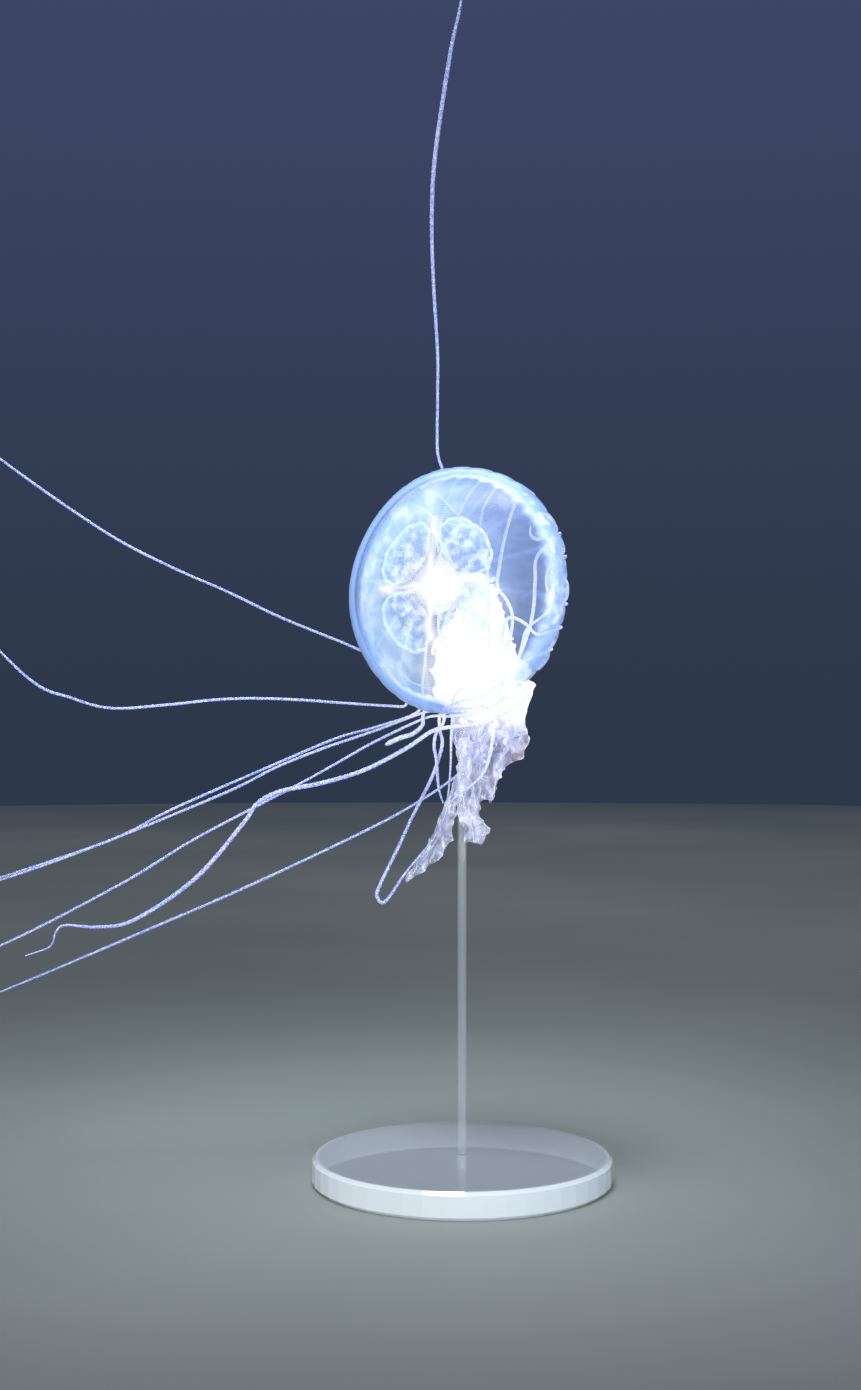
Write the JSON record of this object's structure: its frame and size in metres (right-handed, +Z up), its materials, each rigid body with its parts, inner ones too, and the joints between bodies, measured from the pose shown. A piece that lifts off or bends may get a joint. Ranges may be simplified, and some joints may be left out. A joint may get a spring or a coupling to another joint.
{
  "type": "sea nettle jellyfish",
  "caption": "Life-size sea nettle jellyfish model: domed bell with lappets, frilly oral arms and long drifting tentacles, held on a clear rod and round base.",
  "frame": {"origin": "centre of the underside of the round stand base, on the surface it stands on", "axes": "+Z up, +X to the right and +Y away from a viewer who faces the crown of the bell; the bell opens away from that viewer and to the right"},
  "size_m": [0.3119, 0.1348, 0.5161],
  "materials": {
    "bell_gel": "gloss",
    "gonad_tissue": "satin",
    "oral_tissue": "satin",
    "tentacle_tissue": "satin",
    "clear_acrylic": "polished"
  },
  "bodies": {
    "root": {"arm_front_lower": "oral_tissue", "arm_front_upper": "oral_tissue", "arm_left_lower": "oral_tissue", "arm_left_upper": "oral_tissue", "arm_rear_lower": "oral_tissue", "arm_rear_upper": "oral_tissue", "arm_right_lower": "oral_tissue", "arm_right_upper": "oral_tissue", "bell": "bell_gel", "gonad_1": "gonad_tissue", "gonad_2": "gonad_tissue", "gonad_3": "gonad_tissue", "gonad_4": "gonad_tissue", "manubrium": "oral_tissue", "stand_base": "clear_acrylic", "stand_rod": "clear_acrylic", "tentacle_curled": "tentacle_tissue", "tentacle_hang_left": "tentacle_tissue", "tentacle_hang_mid_1": "tentacle_tissue", "tentacle_hang_mid_2": "tentacle_tissue", "tentacle_hang_right_1": "tentacle_tissue", "tentacle_hang_right_2": "tentacle_tissue", "tentacle_hook": "tentacle_tissue", "tentacle_left_high_1": "tentacle_tissue", "tentacle_left_high_2": "tentacle_tissue", "tentacle_left_mid_1": "tentacle_tissue", "tentacle_left_mid_2": "tentacle_tissue", "tentacle_looped_1": "tentacle_tissue", "tentacle_looped_2": "tentacle_tissue", "tentacle_looped_3": "tentacle_tissue", "tentacle_looped_4": "tentacle_tissue", "tentacle_low_1_1": "tentacle_tissue", "tentacle_low_1_2": "tentacle_tissue", "tentacle_low_1_3": "tentacle_tissue", "tentacle_low_2_1": "tentacle_tissue", "tentacle_low_2_2": "tentacle_tissue", "tentacle_low_2_3": "tentacle_tissue", "tentacle_low_3_1": "tentacle_tissue", "tentacle_low_3_2": "tentacle_tissue", "tentacle_low_3_3": "tentacle_tissue", "tentacle_low_4_1": "tentacle_tissue", "tentacle_low_4_2": "tentacle_tissue", "tentacle_low_4_3": "tentacle_tissue", "tentacle_low_5_1": "tentacle_tissue", "tentacle_low_5_2": "tentacle_tissue", "tentacle_low_5_3": "tentacle_tissue", "tentacle_right_high": "tentacle_tissue", "tentacle_right_low": "tentacle_tissue", "tentacle_right_mid": "tentacle_tissue", "tentacle_trail_1": "tentacle_tissue", "tentacle_trail_2": "tentacle_tissue", "tentacle_trail_3": "tentacle_tissue", "tentacle_trail_4": "tentacle_tissue", "tentacle_trail_5": "tentacle_tissue", "tentacle_trail_6": "tentacle_tissue", "tentacle_trail_7": "tentacle_tissue", "tentacle_up_1": "tentacle_tissue", "tentacle_up_2": "tentacle_tissue"}
  },
  "joints": []
}
